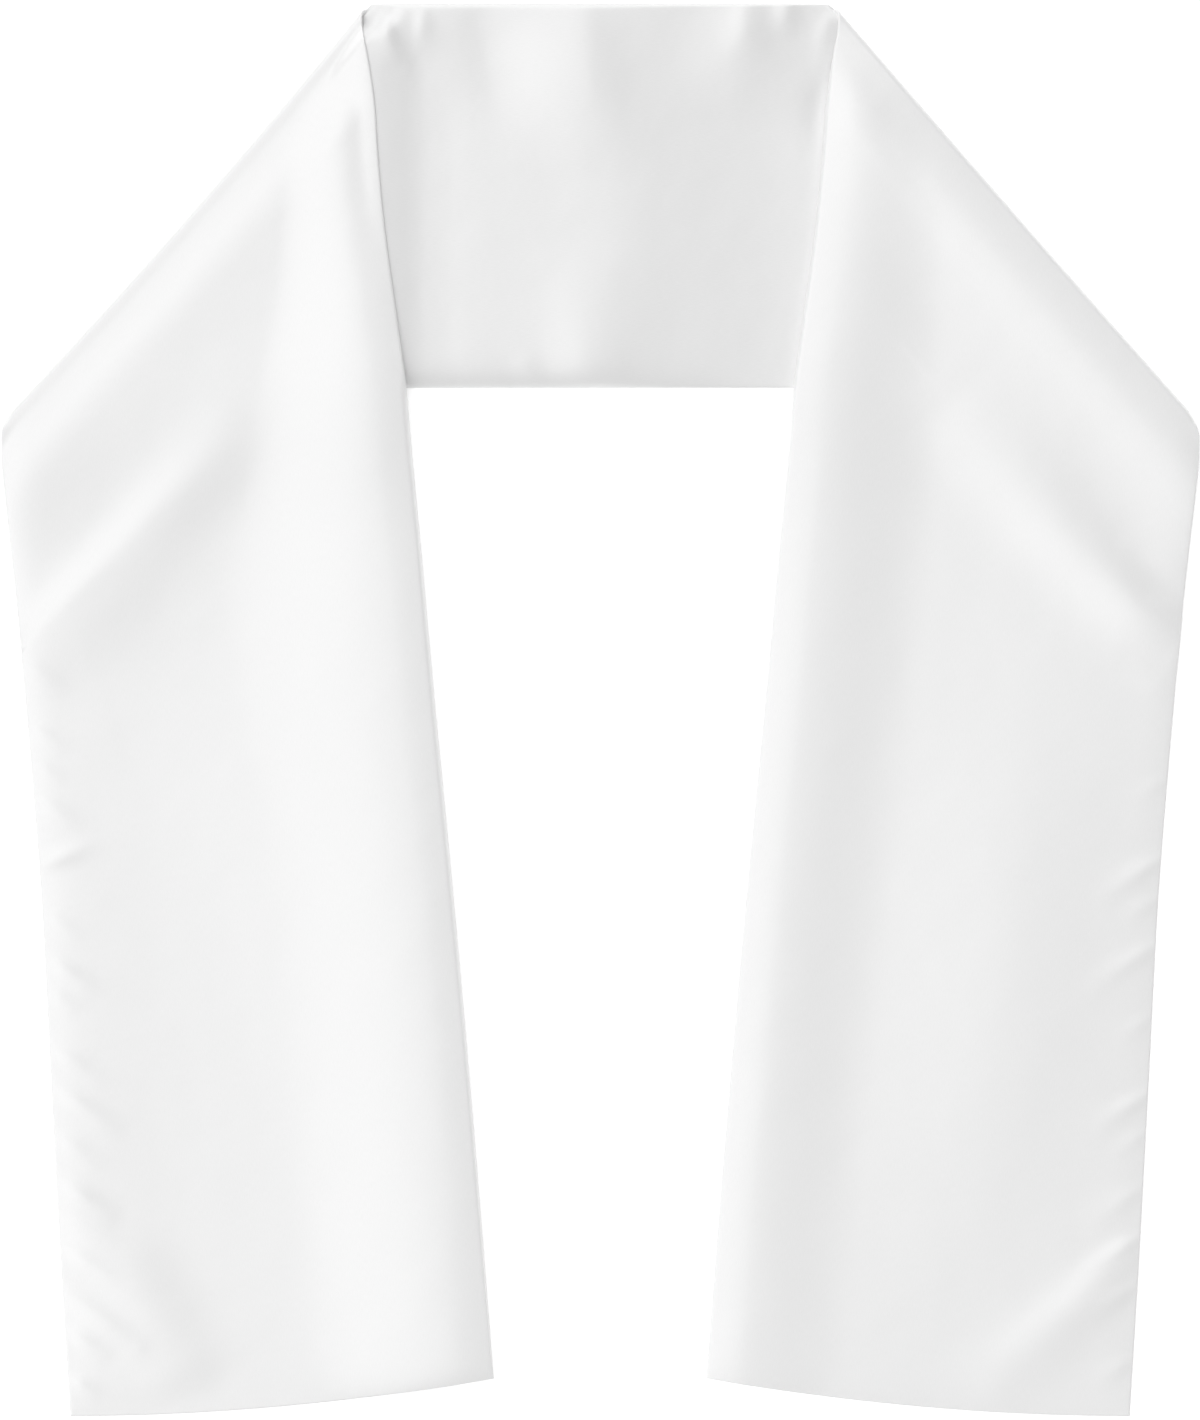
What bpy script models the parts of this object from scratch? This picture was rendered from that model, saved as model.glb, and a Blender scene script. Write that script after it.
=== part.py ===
"""Evening stole of white satin, laid flat on a table with both ends turned down over slanting shoulder folds.

The stole is one long strip of satin folded lengthwise, right side out, and sewn along its open side and
across both ends, so it is two plies everywhere: a soft fold along one long edge, a turned seam along the
other. Laid out, the middle stretch is the back. At each shoulder the whole strip rolls over a slanting
fold and runs down the table as a front, which lies on top of the end of the back.

Sizes are in millimetres until a point is placed. X runs across the stole, Y from hem to neck, and Z up
from the table. The two sides mirror each other but for their creases, so most of the working is done in
side coordinates: how far out from the centre line, how far up the table, and the height above it.
"""

import math

import bmesh
import bpy
import numpy as np

MM = 0.001

# Cloth
WALL = 1.0  # one ply
SEAM_GAP = 0.3  # between the two plies where they are sewn
PLY_STEP = WALL + SEAM_GAP  # from the middle of one ply to the middle of the next, at a seam
PIECE_GAP = 2.8  # across the stole, between the back and the end of a front's shoulder fold
LAYER_GAP = 0.8  # between a front and the back that it lies on
TABLE = WALL / 2  # height of the middle of a ply that lies on the table

# Plan of the laid stole
TOP_EDGE = 437.0
BACK_HEM = 199.6  # the back's sewn lower edge, where it shows
HIDDEN_HEM_DROP = 17.3  # how much lower that edge runs by the time it reaches the shoulders
HEM_BOW = 5.8  # how far a front's end bulges below the straight line between its corners
NECK_CORNER_RADIUS = 20.0
SHOULDER_CORNER_RADIUS = 28.0

# The slanting shoulder fold
SHOULDER_SLOPE = 0.875  # how far it runs out for each millimetre down
SHOULDER_MEETS_TOP = 143.8  # where its line crosses the top edge
FOLD_RADIUS = 4.3  # of the outer ply as it rolls over

# The two long edges of a front
INNER_EDGE = [
    # up, out
    (426.6, 147.2),
    (408.0, 144.6),
    (390.0, 142.0),
    (338.0, 137.0),
    (298.0, 133.0),
    (254.0, 127.0),
    (199.0, 119.5),
    (155.0, 115.4),
    (40.0, 104.8),
    (-118.0, 90.5),
    (-260.0, 78.6),
    (-413.0, 66.0),
]
OUTER_EDGE = [
    # up, out
    (171.4, 370.6),
    (155.0, 370.3),
    (130.0, 367.9),
    (80.0, 362.7),
    (-20.0, 353.7),
    (-118.0, 346.0),
    (-217.0, 340.8),
    (-330.0, 334.8),
    (-437.7, 328.3),
]
FRONT_TOP, FRONT_END = INNER_EDGE[0][0], INNER_EDGE[-1][0]  # of the inner edge
SHOULDER, OUTER_END = OUTER_EDGE[0], OUTER_EDGE[-1]
FAN_END = (40.0, 12.0)  # how far up the inner and outer edges the rows stop turning

# How the upper ply of a front stands: the height it rests at on the end of the back, its level above that,
# the extra height of its crest, where the crest lies, and over what distance it dies away
FRONT_SWELL = {
    "left": {"rests": 5.6, "level": 1.8, "crest": 7.0, "crest_in": 24.0, "dies_over": 32.0},
    "right": {"rests": 3.2, "level": 1.2, "crest": 4.5, "crest_in": 21.0, "dies_over": 26.0},
}
FRONT_ROLL = 2.0  # half the thickness of a front at its soft inner edge
BACK_ROLL = 2.6  # the same for the back's top edge
BACK_AIR = [
    # across, how far the back's upper ply stands off its lower one
    (-152.0, 8.6),
    (-135.0, 8.2),
    (-118.0, 7.4),
    (-100.0, 6.6),
    (-52.0, 6.2),
    (0.0, 6.0),
    (25.0, 5.2),
    (50.0, 3.6),
    (80.0, 1.8),
    (108.0, 0.8),
    (152.0, 0.5),
]
FOLD_RIDGE = {"in": 24.0, "half_width": 15.0, "height": 2.0}  # the swell that follows the shoulder fold

# Slanting creases of the upper ply: soft ridges, and troughs where the height is negative
FRONT_CREASES = {
    "left": [
        # from (out, up), to (out, up), half width, height
        ((352.0, 68.0), (232.0, 178.0), 15.0, 3.2),
        ((330.0, 52.0), (205.0, 165.0), 17.0, -2.4),
        ((262.0, -20.0), (248.0, -215.0), 46.0, -2.2),
        ((246.0, -330.0), (205.0, -438.0), 30.0, -1.8),
    ],
    "right": [
        # from (out, up), to (out, up), half width, height
        ((348.0, 42.0), (232.0, 168.0), 18.0, 3.0),
        ((352.0, 98.0), (270.0, 180.0), 15.0, -1.8),
        ((212.0, 60.0), (186.0, -200.0), 40.0, 1.6),
        ((322.0, -372.0), (240.0, -424.0), 16.0, 2.2),
    ],
}
BACK_CREASES = [
    # from (across, up), to (across, up), half width, height
    ((-12.0, 437.0), (-2.0, 340.0), 30.0, 2.4),
    ((-6.0, 199.6), (-7.0, 280.0), 24.0, 1.8),
    ((-72.0, 437.0), (-58.0, 350.0), 24.0, -2.0),
]

# How finely a piece is divided
FAN_ROWS = 17  # rows of a front that turn from the shoulder fold to the hem's direction
STRAIGHT_ROWS = 17  # rows below them
TURN_ROWS = 7  # rows round the shoulder fold
BACK_ROWS = 23
STRIP_WIDTH = 247.0
UPPER_NEAR_FOLD = (0.0, 1.2, 4.5, 10.0, 18.0, 28.0, 42.0, 60.0, 82.0)  # columns, from the folded edge
UPPER_PLY = (*UPPER_NEAR_FOLD, 106.0, 130.0, 154.0, 178.0, 202.0, 222.0, 237.0, STRIP_WIDTH)
LOWER_PLY = (0.7, 2.2, 5.0, 18.0, 70.0, 130.0, 190.0, 235.0, STRIP_WIDTH)

SATIN_WHITE = (0.88, 0.88, 0.88, 1.0)
SATIN_ROUGHNESS = 0.38


def blend(low, high, share):
    return low + (high - low) * share


def ease(share):
    """0 to 1 with a smooth start and end."""
    share = min(max(share, 0.0), 1.0)
    return share * share * (3.0 - 2.0 * share)


def ebb(distance, reach):
    """1 at a crest, level there, and dying away beyond it."""
    steps = max(distance, 0.0) / reach
    return (1.0 + steps) * math.exp(-steps)


def rise(distance, reach):
    """0 at an edge, and soon 1 away from it."""
    return 1.0 - math.exp(-max(distance, 0.0) / reach)


def quarter_round(share):
    """The curve that lifts a ply from the edge of a roll to its crest."""
    share = min(max(share, 0.0), 1.0)
    return math.sqrt(1.0 - (1.0 - share) ** 2)


def edge_at(edge, up):
    """How far out an edge of a front is at a height up the table, on a smooth curve through its rows."""
    ups, outs = zip(*edge)
    last = len(edge) - 1

    def slope(k):
        before, after = max(k - 1, 0), min(k + 1, last)
        return (outs[after] - outs[before]) / (ups[after] - ups[before])

    if up > ups[0]:
        return outs[0] + slope(0) * (up - ups[0])
    if up < ups[last]:
        return outs[last] + slope(last) * (up - ups[last])
    k = next(i for i in range(last) if up >= ups[i + 1])
    span = ups[k + 1] - ups[k]
    t = (up - ups[k]) / span
    return (
        outs[k] * (1 + 2 * t) * (1 - t) ** 2
        + outs[k + 1] * t * t * (3 - 2 * t)
        + span * (slope(k) * t * (1 - t) ** 2 - slope(k + 1) * t * t * (1 - t))
    )


# A unit step out and down along the shoulder fold, and one square to it, in towards the body of the cloth
SLANT = math.hypot(SHOULDER_SLOPE, 1.0)
ALONG_FOLD = np.array([SHOULDER_SLOPE, -1.0]) / SLANT
INTO_CLOTH = np.array([-1.0, -SHOULDER_SLOPE]) / SLANT
FOLD_START = np.array([SHOULDER_MEETS_TOP, TOP_EDGE])
# Cloth that rolls over a slanting fold also moves along it: by half a turn, at the slant of its own edges
FOLD_SHIFT = math.pi * FOLD_RADIUS * SHOULDER_SLOPE


def inside_fold(out, up):
    """How far a point lies inside the line of the shoulder fold."""
    return float(np.dot(np.array([out, up]) - FOLD_START, INTO_CLOTH))


def along_fold(out, up):
    return float(np.dot(np.array([out, up]) - FOLD_START, ALONG_FOLD))


def fold_point(inside, along):
    return FOLD_START + INTO_CLOTH * inside + ALONG_FOLD * along


# Where the strip's two edges leave the top of the roll, and where they start at its foot, on the table
TOP_OF_ROLL = (along_fold(edge_at(INNER_EDGE, FRONT_TOP), FRONT_TOP), along_fold(SHOULDER[1], SHOULDER[0]))
FOOT_OF_ROLL = tuple(end - FOLD_SHIFT for end in TOP_OF_ROLL)


def rounded(point, corner, first, second, radius):
    """A plan point pulled in so that the corner between two edges becomes a fillet. first and second are
    the directions, in radians, that point out of the cloth square to each edge."""
    half, middle = abs(first - second) / 2, (first + second) / 2
    centre = np.array(corner) - np.array([math.cos(middle), math.sin(middle)]) * radius / math.cos(half)
    away = np.array(point) - centre
    reach = math.hypot(*away)
    turn = abs(math.atan2(away[1], away[0]) - middle)
    if turn >= half or reach < radius / 4:
        return np.array(point)
    full = radius / math.cos(half - turn)
    pulled = 1.0 - (1.0 - radius / full) * min(reach / full, 1.0) ** 4
    return centre + away * pulled


OUT_OF_FOLD = math.atan2(-INTO_CLOTH[1], -INTO_CLOTH[0])
OUT_OF_TOP_EDGE = math.pi / 2
OUT_OF_OUTER_EDGE = math.radians(-5.2)
SHOULDER_CORNER = ((370.5, 178.6), OUT_OF_FOLD, OUT_OF_OUTER_EDGE, SHOULDER_CORNER_RADIUS)
NECK_CORNER = ((SHOULDER_MEETS_TOP, TOP_EDGE), OUT_OF_FOLD, OUT_OF_TOP_EDGE, NECK_CORNER_RADIUS)


def with_round_corners(out, up):
    return rounded(rounded((out, up), *SHOULDER_CORNER), *NECK_CORNER)


def crease_height(creases, across, up):
    """The sum of the soft ridges and troughs at a point of the plan. Each fades towards its ends."""
    total = 0.0
    for start, end, half_width, height in creases:
        a, b, here = np.array(start), np.array(end), np.array([across, up])
        share = float(np.dot(here - a, b - a) / np.dot(b - a, b - a))
        nearest = a + (b - a) * min(max(share, 0.0), 1.0)
        off = float(np.linalg.norm(here - nearest)) / half_width
        fade = math.sin(math.pi * min(max(0.12 + 0.76 * share, 0.0), 1.0)) ** 0.7
        total += height * fade * math.exp(-off * off)
    return total


def back_lower_edge(out):
    """The back's sewn edge, which runs down a little under the fronts."""
    return BACK_HEM - HIDDEN_HEM_DROP * ease((out - 130.0) / 228.0)


def back_top(across, up):
    """Height of the middle of the back's upper ply, which swells only where no front presses on it."""
    out = abs(across)
    shows = ease((edge_at(INNER_EDGE, up) - out + 34.0) / 40.0)
    shows *= ease((inside_fold(out, up) - FOLD_RADIUS) / 22.0)
    swelling = float(np.interp(across, *zip(*BACK_AIR))) + crease_height(BACK_CREASES, across, up)
    sewn = rise(up - back_lower_edge(out), 10.0)
    return TABLE + PLY_STEP + max(swelling, 0.3) * shows * sewn


def front_under(side, out, up):
    """Height of the middle of a front's lower ply: on the end of the back, and below that on the table."""
    across = out if side == "right" else -out
    on_back = max(back_top(across, up + above) for above in (0.0, 10.0, 20.0)) + WALL + LAYER_GAP
    lying = blend(TABLE, on_back, ease((up - back_lower_edge(out)) / 34.0 + 1.4))
    top_of_roll = TABLE + 2 * FOLD_RADIUS - PLY_STEP
    return blend(lying, max(top_of_roll, lying), ebb(inside_fold(out, up) - FOLD_RADIUS, 13.0))


def front_top(side, out, up):
    """Height of the middle of a front's upper ply, away from the roll of its inner edge."""
    swell = FRONT_SWELL[side]
    from_edge = out - edge_at(INNER_EDGE, up)
    from_seam = edge_at(OUTER_EDGE, up) - out if up < SHOULDER[0] else 40.0
    past_fold = inside_fold(out, up) - FOLD_RADIUS
    resting = blend(TABLE, swell["rests"], ease((up - back_lower_edge(out)) / 110.0 + 0.8))
    crest = swell["crest"] * ebb(from_edge - swell["crest_in"], swell["dies_over"])
    off_ridge = (past_fold + FOLD_RADIUS - FOLD_RIDGE["in"]) / FOLD_RIDGE["half_width"]
    ridge = FOLD_RIDGE["height"] * math.exp(-off_ridge * off_ridge) * ease(past_fold / 14.0)
    creases = crease_height(FRONT_CREASES[side], out, up)
    height = resting + PLY_STEP + swell["level"] + creases + crest * ease(past_fold / 30.0) + ridge
    under = front_under(side, out, up)
    sewn = rise(from_seam, 9.0) * rise(up - front_end_at(out), 5.0)
    air = max(height - under - PLY_STEP, 0.4)
    return under + PLY_STEP + air * sewn * ease(past_fold / 16.0)


def front_end_at(out):
    """How far up the table a front's sewn end is, at a distance out from the centre line."""
    share = (out - INNER_EDGE[-1][1]) / (OUTER_END[1] - INNER_EDGE[-1][1])
    share = min(max(share, 0.0), 1.0)
    return blend(FRONT_END, OUTER_END[0], share) - 4.0 * HEM_BOW * share * (1.0 - share)


def front_row(step):
    """The plan line of a row of a front: its inner end, its outer end, and how far it bulges down."""
    if step < FAN_ROWS:
        share = step / FAN_ROWS
        inner, outer, bow = blend(FRONT_TOP, FAN_END[0], share), blend(SHOULDER[0], FAN_END[1], share), 0.0
    else:
        share = (step - FAN_ROWS) / STRAIGHT_ROWS
        inner, outer = blend(FAN_END[0], FRONT_END, share), blend(FAN_END[1], OUTER_END[0], share)
        bow = HEM_BOW * share
    return np.array([edge_at(INNER_EDGE, inner), inner]), np.array([edge_at(OUTER_EDGE, outer), outer]), bow


def front_point(side, step, across, upper):
    """A point on the middle of a ply of a front, in side coordinates."""
    inner, outer, bow = front_row(step)
    share = across / STRIP_WIDTH
    out, up = blend(inner, outer, share) - np.array([0.0, 4.0 * bow * share * (1.0 - share)])
    fullness = ease((FRONT_TOP - inner[1]) / 110.0)  # the roll starts tight, at the neck corner
    roll = blend(PLY_STEP / 2, FRONT_ROLL, fullness)
    middle = front_under(side, *inner) + roll
    if upper:
        crest_in = blend(4.0, FRONT_SWELL[side]["crest_in"], fullness)
        height = blend(middle, front_top(side, out, up), quarter_round(across / crest_in))
    else:
        height = blend(middle, front_under(side, out, up), quarter_round(across / roll))
    return *with_round_corners(out, up), height


def turn_point(share, across, upper):
    """A point on the middle of a ply as it rolls over the shoulder fold. share runs from 0, on the table,
    to 1, on top of the roll."""
    starts = [blend(foot, top, share) for foot, top in zip(FOOT_OF_ROLL, TOP_OF_ROLL)]
    along = blend(*starts, across / STRIP_WIDTH)
    half = PLY_STEP / 2
    radius = FOLD_RADIUS - half + half * quarter_round(across / half) * (1.0 if upper else -1.0)
    turn = math.pi * (share - 0.5)
    out, up = fold_point(FOLD_RADIUS - radius * math.cos(turn), along)
    return *with_round_corners(out, up), TABLE + FOLD_RADIUS + radius * math.sin(turn)


def back_point(share, across, upper):
    """A point on the middle of a ply of the back. share runs from -1 to 1, from the left end to the right."""
    top_end, low_end = (fold_point(FOLD_RADIUS, foot)[0] - PIECE_GAP for foot in FOOT_OF_ROLL)
    down = across / STRIP_WIDTH
    x = blend(top_end, low_end, down) * share
    up = blend(TOP_EDGE, back_lower_edge(abs(low_end * share)), down)
    fullness = ease((1.0 - abs(share)) / 0.3)  # the roll is tight where a shoulder fold takes over
    roll = blend(PLY_STEP / 2, BACK_ROLL, fullness)
    if upper:
        crest_in = blend(3.0, 12.0, fullness)
        height = blend(TABLE + roll, back_top(x, up), quarter_round(across / crest_in))
    else:
        height = blend(TABLE + roll, TABLE, quarter_round(across / roll))
    out, up = with_round_corners(abs(x), up)
    return math.copysign(out, x), up, height


def satin(name):
    material = bpy.data.materials.new(name)
    material.use_nodes = True
    shader = material.node_tree.nodes["Principled BSDF"]
    shader.inputs["Base Color"].default_value = SATIN_WHITE
    shader.inputs["Roughness"].default_value = SATIN_ROUGHNESS
    shader.inputs["Metallic"].default_value = 0.0
    return material


def cloth(name, rows, place, collection):
    """A wall of cloth: a grid with a row for each station and a column for each place round the folded
    strip, from the lower ply's sewn edge to the upper one's. It is thickened to one ply."""
    columns = [(across, False) for across in reversed(LOWER_PLY)] + [(across, True) for across in UPPER_PLY]
    mesh = bmesh.new()
    bmesh.ops.create_grid(mesh, x_segments=len(rows) - 1, y_segments=len(columns) - 1, size=0.5)
    for vertex in mesh.verts:
        row = rows[round((vertex.co.x + 0.5) * (len(rows) - 1))]
        across, upper = columns[round((vertex.co.y + 0.5) * (len(columns) - 1))]
        vertex.co = [value * MM for value in place(row, across, upper)]
    data = bpy.data.meshes.new(name)
    mesh.to_mesh(data)
    mesh.free()
    data.shade_smooth()
    data.materials.append(satin(f"{name}_satin"))
    piece = bpy.data.objects.new(name, data)
    collection.objects.link(piece)
    thickness = piece.modifiers.new("one ply", "SOLIDIFY")
    thickness.thickness = WALL * MM
    thickness.offset = 0.0


def front(side, collection):
    """One front, with the roll of its shoulder fold, from its end to where the back takes over under it."""
    hand = 1.0 if side == "right" else -1.0
    turns = [(turn_point, k / TURN_ROWS) for k in range(TURN_ROWS)]
    flats = [(None, step) for step in range(FAN_ROWS + STRAIGHT_ROWS + 1)]

    def place(row, across, upper):
        turning, at = row
        out, up, height = turning(at, across, upper) if turning else front_point(side, at, across, upper)
        return hand * out, up, height

    cloth(f"{side}_front", turns + flats, place, collection)


def back(collection):
    shares = [blend(-1.0, 1.0, k / (BACK_ROWS - 1)) for k in range(BACK_ROWS)]
    cloth("back", shares, back_point, collection)


def main():
    for thing in list(bpy.data.objects):
        bpy.data.objects.remove(thing)
    stole = bpy.data.collections.new("evening_stole")
    bpy.context.scene.collection.children.link(stole)
    back(stole)
    for side in ("left", "right"):
        front(side, stole)


main()
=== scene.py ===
# %% [markdown]
# # A satin evening stole, laid flat
# The stole is one long strip of white satin. It is folded lengthwise with the right side out, sewn along
# its open side and across both ends, and then laid on a table. Its middle lies flat as the back. At each
# shoulder the whole strip rolls over a slanting fold and runs down the table as a front. The construction
# model already fixes the plan and the thickness of the three stretches. This script gives each of them its
# cloth: a thin wall with the swells, creases and puckers of real satin, and the satin's own finish.

# %% Load the frame
import math

import bmesh
import bpy
import numpy as np
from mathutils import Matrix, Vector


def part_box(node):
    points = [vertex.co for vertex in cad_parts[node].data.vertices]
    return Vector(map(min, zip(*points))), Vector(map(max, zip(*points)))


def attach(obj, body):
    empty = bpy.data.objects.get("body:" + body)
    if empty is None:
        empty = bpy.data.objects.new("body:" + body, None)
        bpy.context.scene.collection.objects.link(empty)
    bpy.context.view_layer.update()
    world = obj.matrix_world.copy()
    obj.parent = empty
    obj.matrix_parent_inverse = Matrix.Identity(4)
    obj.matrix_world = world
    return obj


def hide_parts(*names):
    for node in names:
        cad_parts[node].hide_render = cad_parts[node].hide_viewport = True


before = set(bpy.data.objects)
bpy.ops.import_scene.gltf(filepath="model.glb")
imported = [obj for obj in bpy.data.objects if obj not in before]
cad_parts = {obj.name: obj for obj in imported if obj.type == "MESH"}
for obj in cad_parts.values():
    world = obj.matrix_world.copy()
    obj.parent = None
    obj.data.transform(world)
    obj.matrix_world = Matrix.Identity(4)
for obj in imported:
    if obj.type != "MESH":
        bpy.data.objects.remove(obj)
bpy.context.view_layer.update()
back_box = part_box("back")
front_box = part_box("right_front")

# %% [markdown]
# ## Working in millimetres
# Cloth is easiest to think about in millimetres, so every size below is in them, and a point becomes
# metres only when it is placed. The two halves of the stole mirror each other but for their creases. So
# most functions work in side coordinates: `out` from the centre line, `up` the table towards the neck, and
# a height. They take whole arrays, because a piece has tens of thousands of points.

# %% Small shaping curves
MM = 0.001
SOFTENING = 0.12  # taken off again, so that a height of a few millimetres stays what it was


def blend(low, high, share):
    return low + (high - low) * share


def ease(share):
    """0 to 1 with a smooth start and end."""
    share = np.clip(share, 0.0, 1.0)
    return share * share * (3.0 - 2.0 * share)


def ebb(distance, reach):
    """1 at a crest, level there, and dying away beyond it."""
    steps = np.maximum(distance, 0.0) / reach
    return (1.0 + steps) * np.exp(-steps)


def rise(distance, reach):
    """0 at an edge, and soon 1 away from it."""
    return 1.0 - np.exp(-np.maximum(distance, 0.0) / reach)


def quarter_round(share):
    """The curve that lifts a ply from the edge of a roll to its crest."""
    return np.sqrt(1.0 - (1.0 - np.clip(share, 0.0, 1.0)) ** 2)


def above_nothing(height):
    """The height, but fading smoothly to about zero where it would turn negative."""
    return 0.5 * (height + np.sqrt(height * height + 1.0)) - SOFTENING


def curve_through(knots, at):
    """A smooth curve through (place, value) knots, which runs straight on beyond its ends."""
    places, values = np.array(sorted(knots)).T
    slopes = np.gradient(values, places)
    k = np.clip(np.searchsorted(places, at) - 1, 0, len(places) - 2)
    span = places[k + 1] - places[k]
    t = (at - places[k]) / span
    beyond = np.where(t > 1, (t - 1) * slopes[k + 1], np.where(t < 0, t * slopes[k], 0.0)) * span
    t = np.clip(t, 0.0, 1.0)
    start = values[k] * (1 + 2 * t) * (1 - t) ** 2 + span * slopes[k] * t * (1 - t) ** 2
    end = values[k + 1] * t * t * (3 - 2 * t) - span * slopes[k + 1] * t * t * (1 - t)
    return start + end + beyond


print("half a rise:", round(float(rise(6.0, 9.0)), 2))
print("quarter round at a third:", round(float(quarter_round(1 / 3)), 2))

# %% [markdown]
# ## The plan
# Seen from above, the stole is five nearly straight lines on each side: the top edge, the slanting shoulder
# fold, the two long edges of the front, and its end. The long edges bend a little, where the front comes
# down off the back. A short table of listed points with a smooth curve through them is the plainest
# way to hold such an edge. The top edge and the low end come from the solids themselves.

# %% Edges of the strip
WALL = 1.0  # the solids' ply
TOP_EDGE = back_box[1][1] / MM - WALL / 2
END_OF_FRONT = front_box[0][1] / MM  # up at the outer corner of the hem
END_OF_INNER_EDGE = -414.0  # up at its inner corner
INNER_EDGE = [
    # up, out
    (431.5, 147.4),
    (420.0, 147.0),
    (409.0, 144.8),
    (391.0, 141.8),
    (374.0, 139.6),
    (353.0, 138.2),
    (338.0, 137.0),
    (298.0, 133.0),
    (254.0, 127.0),
    (199.0, 119.5),
    (155.0, 115.7),
    (93.0, 109.9),
    (18.0, 103.2),
    (-56.0, 96.1),
    (-130.0, 89.1),
    (-260.0, 77.8),
    (END_OF_INNER_EDGE, 65.6),
]
OUTER_EDGE = [
    # up, out
    (168.0, 370.5),
    (155.0, 370.3),
    (130.0, 367.9),
    (80.0, 362.7),
    (-20.0, 353.7),
    (-118.0, 346.0),
    (-217.0, 340.8),
    (-330.0, 334.8),
    (END_OF_FRONT, 328.3),
]
HEM_BOW = 5.8  # how far a front's end bulges below the straight line between its corners
BACK_SEAM = 199.6  # up at the back's sewn edge
SEAM_DROP = 17.3  # how much lower that edge runs by the time it reaches the shoulders
SEAM_DROPS_FROM = 130.0  # out from the centre line
SEAM_DROPS_OVER = 228.0


def inner_edge(up):
    return curve_through(INNER_EDGE, up)


def outer_edge(up):
    return curve_through(OUTER_EDGE, up)


def back_seam(out):
    """The back's sewn edge, which runs down a little under the fronts."""
    return BACK_SEAM - SEAM_DROP * ease((out - SEAM_DROPS_FROM) / SEAM_DROPS_OVER)


def end_of_front(out):
    """How far up a front's sewn end is, at a distance out from the centre line."""
    inner, outer = inner_edge(END_OF_INNER_EDGE), outer_edge(END_OF_FRONT)
    share = np.clip((out - inner) / (outer - inner), 0.0, 1.0)
    return blend(END_OF_INNER_EDGE, END_OF_FRONT, share) - 4.0 * HEM_BOW * share * (1.0 - share)


end_width = float(outer_edge(END_OF_FRONT) - inner_edge(END_OF_INNER_EDGE))
print("width of a front at its end:", round(end_width), "mm")

# %% [markdown]
# ## The shoulder fold
# Where a strip rolls over a fold that slants across it, each thread also shifts along the fold. Half a turn
# of radius r shifts it by pi times r, times the slant. That is worked out here once, so that the cloth
# comes out of the roll in line with the front, and starts into it in line with the back.

# %% Fold geometry
FOLD_RADIUS = 4.2 + WALL / 2
NECK_RADIUS = 2.2 + WALL / 2  # the folded edge of the strip pulls the roll tighter at the neck
FOLD_DEPTH = 2.8  # how far in from the edge its top lies: the roll is a little flattened by its weight
DOUBLE_AT_FOLD = 2.0  # thickness of the two plies together, with a little air, as they roll over
SHOULDER_SLOPE = 0.875  # how far the fold runs out for each millimetre down
SHOULDER_MEETS_TOP = 143.8  # out from the centre line
OPENS_OVER = 70.0  # how far along the fold the tight roll at the neck takes to open out
SLANT = math.hypot(SHOULDER_SLOPE, 1.0)
ALONG_FOLD = np.array([SHOULDER_SLOPE, -1.0]) / SLANT
INTO_CLOTH = np.array([-1.0, -SHOULDER_SLOPE]) / SLANT
FOLD_START = np.array([SHOULDER_MEETS_TOP, TOP_EDGE]) - INTO_CLOTH * WALL / 2


def inside_fold(out, up):
    """How far a point lies inside the line of the shoulder fold."""
    return (out - FOLD_START[0]) * INTO_CLOTH[0] + (up - FOLD_START[1]) * INTO_CLOTH[1]


def along_fold(out, up):
    return (out - FOLD_START[0]) * ALONG_FOLD[0] + (up - FOLD_START[1]) * ALONG_FOLD[1]


def fold_radius(along):
    """Radius of the roll, at a distance along it."""
    return blend(NECK_RADIUS, FOLD_RADIUS, ease(along / OPENS_OVER))


def fold_shift(along):
    return math.pi * fold_radius(along) * SHOULDER_SLOPE


def fold_point(inside, along):
    return (
        FOLD_START[0] + INTO_CLOTH[0] * inside + ALONG_FOLD[0] * along,
        FOLD_START[1] + INTO_CLOTH[1] * inside + ALONG_FOLD[1] * along,
    )


def edge_meets_fold(edge_of_front, near_up):
    """Where a long edge of a front leaves the top of the roll, found by stepping along the edge."""
    up = near_up
    for _ in range(30):
        up += (inside_fold(edge_of_front(up), up) - FOLD_DEPTH) * 0.8
    return float(up), float(along_fold(edge_of_front(up), up))


INNER_START, INNER_ALONG = edge_meets_fold(inner_edge, 431.0)
OUTER_START, OUTER_ALONG = edge_meets_fold(outer_edge, 168.0)
ROWS_OF_FRONT = [
    # share of the way down, up at the inner edge, up at the outer edge
    (0.0, INNER_START, OUTER_START),
    (0.25, 232.0, 95.0),
    (0.5, 40.0, 12.0),
    (0.75, -186.0, -212.0),
    (1.0, END_OF_INNER_EDGE, END_OF_FRONT),
]
TOP_OF_ROLL = np.array([INNER_ALONG, OUTER_ALONG])
FOOT_OF_ROLL = TOP_OF_ROLL - fold_shift(TOP_OF_ROLL)
print("the edges leave the fold at up", round(INNER_START, 1), "and", round(OUTER_START, 1))

# %% [markdown]
# ## Rounded corners and a hollowed fold
# The neck corner and the shoulder corner of a soft fold are round, and between them the fold hollows a
# little, as cloth does when it is not pulled straight. Rather than shape each row, one function moves the
# finished plan: points near the fold go inwards, most at its middle, and points near a corner are pulled in
# towards the corner's own small circle.

# %% Corners
OUT_OF_FOLD = math.atan2(-INTO_CLOTH[1], -INTO_CLOTH[0])
FOLD_LENGTH = 340.0
FOLD_BOW = {"left": 3.2, "right": 0.8}  # how far each shoulder fold hollows at its middle
BOW_REACH = 60.0  # how far inside the fold the hollowing dies away
CORNERS = [
    # corner (out, up), the two edges' outward directions, radius
    ((371.0, 179.1), OUT_OF_FOLD, math.radians(-5.2), 28.0),
    ((SHOULDER_MEETS_TOP + 0.2, TOP_EDGE + 0.5), OUT_OF_FOLD, math.pi / 2, 13.0),
]


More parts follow.
